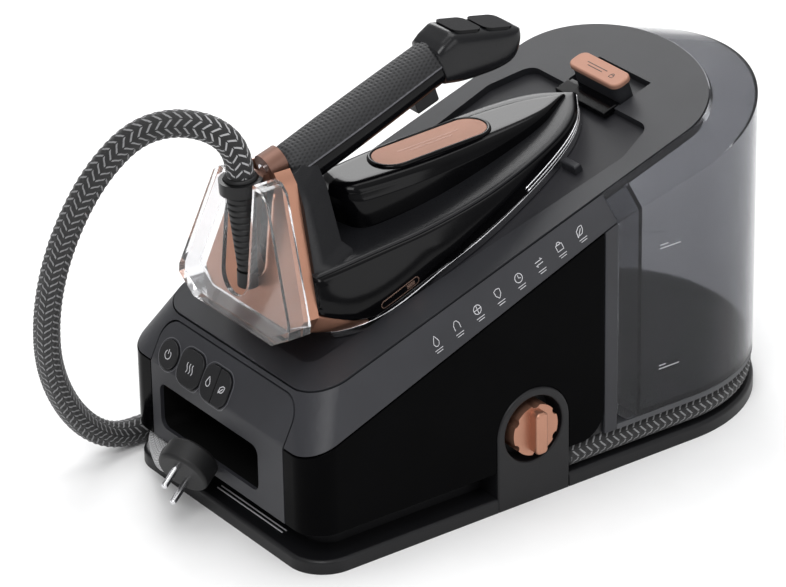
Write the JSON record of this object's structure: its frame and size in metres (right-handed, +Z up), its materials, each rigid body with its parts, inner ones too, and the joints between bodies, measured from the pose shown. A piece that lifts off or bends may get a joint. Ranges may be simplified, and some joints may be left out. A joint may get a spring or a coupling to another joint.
{
  "type": "steam generator iron",
  "caption": "Steam generator iron: a wedge-shaped base station with a clear rear water tank, a rinse valve and a hose, and a cordless-look iron docked on its sloping top.",
  "frame": {"origin": "middle of the base's underside, on the line between its two sides, 222.5 mm behind the front edge", "axes": "+Z up, -Y the end with the buttons, +Y the end with the water tank, +X the side with the rinse valve"},
  "size_m": [0.2585, 0.5316, 0.316],
  "materials": {
    "shell_matte": "fine matte moulding",
    "gloss_black": "high gloss",
    "base_black": "satin",
    "bay_black": "matte",
    "mat_dark": "matte",
    "button_black": "satin",
    "copper": "satin copper paint",
    "tank_smoke": "smoky clear plastic",
    "clear_plastic": "clear plastic",
    "grey_satin": "satin",
    "grip_rubber": "soft touch with small dimples",
    "boot_rubber": "matte",
    "collar_brown": "dark copper",
    "braid": "chevron braid, black with light grey",
    "lead_braid": "light grey braid",
    "plug_rubber": "matte",
    "nickel": "nickel plate",
    "sole_steel": "polished edge",
    "cast_alloy": "as cast",
    "boiler_steel": "plain",
    "valve_brass": "plain",
    "pump_plastic": "plain",
    "board_green": "circuit board"
  },
  "bodies": {
    "station": {"base_plate": "base_black", "bevel_band": "shell_matte", "boiler": "boiler_steel", "button_board": "board_green", "cord_bay": "bay_black", "foot_pads": "boot_rubber", "front_panel": "shell_matte", "heating_element": "boiler_steel", "hose_outlet": "base_black", "hose_stored": "braid", "inner_frame": "base_black", "iron_stop": "mat_dark", "lead_gland": "base_black", "mains_lead": "lead_braid", "plug_body": "plug_rubber", "plug_pins": "nickel", "power_board": "board_green", "rear_frame": "shell_matte", "rest_mat": "mat_dark", "side_panel_left": "gloss_black", "side_panel_right": "gloss_black", "steam_valve": "valve_brass", "tank_port": "valve_brass", "tank_sill": "base_black", "top_cover": "shell_matte", "valve_bracket": "base_black", "valve_seat": "valve_brass", "water_pump": "pump_plastic"},
    "iron": {"soleplate": "sole_steel", "steam_chamber": "cast_alloy", "skirt": "gloss_black", "deck": "grey_satin", "saddle": "gloss_black", "badge": "copper", "rear_column": "grey_satin", "handle_core": "grey_satin", "soft_grip": "grip_rubber", "control_head": "grey_satin", "heel_frame": "copper", "heel_rest": "clear_plastic", "hose_inlet": "boot_rubber", "hose_collar": "collar_brown", "collar_screw": "nickel", "thermostat": "boiler_steel", "hose_loop": "braid"},
    "lock": {"lock_slider": "shell_matte", "lock_cap": "copper", "lock_tongue": "gloss_black"},
    "tank": {"water_tank": "tank_smoke", "tank_valve": "pump_plastic"},
    "valve": {"valve_knob": "copper", "valve_seal": "boot_rubber"},
    "power_key": {"power_button": "button_black"},
    "boost_key": {"boost_button": "button_black"},
    "rinse_key": {"rinse_button": "button_black"},
    "eco_key": {"eco_button": "button_black"},
    "trigger_key": {"steam_trigger": "button_black"},
    "shot_key": {"steam_shot_button": "button_black"},
    "select_key": {"mode_select_button": "button_black"},
    "boot": {"hose_boot": "boot_rubber"}
  },
  "joints": [
    {"name": "iron_lift", "type": "slide", "parent": "station", "child": "iron", "axis": [0, -0.3223, 0.9466], "range_m": [0, 0.08]},
    {"name": "lock_slide", "type": "slide", "parent": "station", "child": "lock", "axis": [0, 0.9466, 0.3223], "range_m": [0, 0.01]},
    {"name": "tank_slide", "type": "slide", "parent": "station", "child": "tank", "axis": [0, 1, 0], "range_m": [0, 0.15]},
    {"name": "valve_turn", "type": "hinge", "parent": "station", "child": "valve", "pos_m": [0.1, -0.036, 0.056], "axis": [1, 0, 0], "range_deg": [0, 90]},
    {"name": "power_press", "type": "slide", "parent": "station", "child": "power_key", "axis": [0, 0.8956, -0.4448], "range_m": [0, 0.0012], "stiffness_N_per_m": 900},
    {"name": "boost_press", "type": "slide", "parent": "station", "child": "boost_key", "axis": [0, 0.8956, -0.4448], "range_m": [0, 0.0012], "stiffness_N_per_m": 900},
    {"name": "rinse_press", "type": "slide", "parent": "station", "child": "rinse_key", "axis": [0, 0.8956, -0.4448], "range_m": [0, 0.0012], "stiffness_N_per_m": 900},
    {"name": "eco_press", "type": "slide", "parent": "station", "child": "eco_key", "axis": [0, 0.8956, -0.4448], "range_m": [0, 0.0012], "stiffness_N_per_m": 900},
    {"name": "trigger_pull", "type": "slide", "parent": "iron", "child": "trigger_key", "axis": [0, -0.3223, 0.9466], "range_m": [0, 0.003], "stiffness_N_per_m": 400},
    {"name": "shot_press", "type": "slide", "parent": "iron", "child": "shot_key", "axis": [0, -0.1857, -0.9826], "range_m": [0, 0.0012], "stiffness_N_per_m": 900},
    {"name": "select_press", "type": "slide", "parent": "iron", "child": "select_key", "axis": [0, -0.1857, -0.9826], "range_m": [0, 0.0012], "stiffness_N_per_m": 900},
    {"name": "hose_swivel", "type": "hinge", "parent": "iron", "child": "boot", "pos_m": [0, -0.191, 0.182], "axis": [0, -0.0565, 0.9984], "range_deg": [-60, 60]}
  ]
}
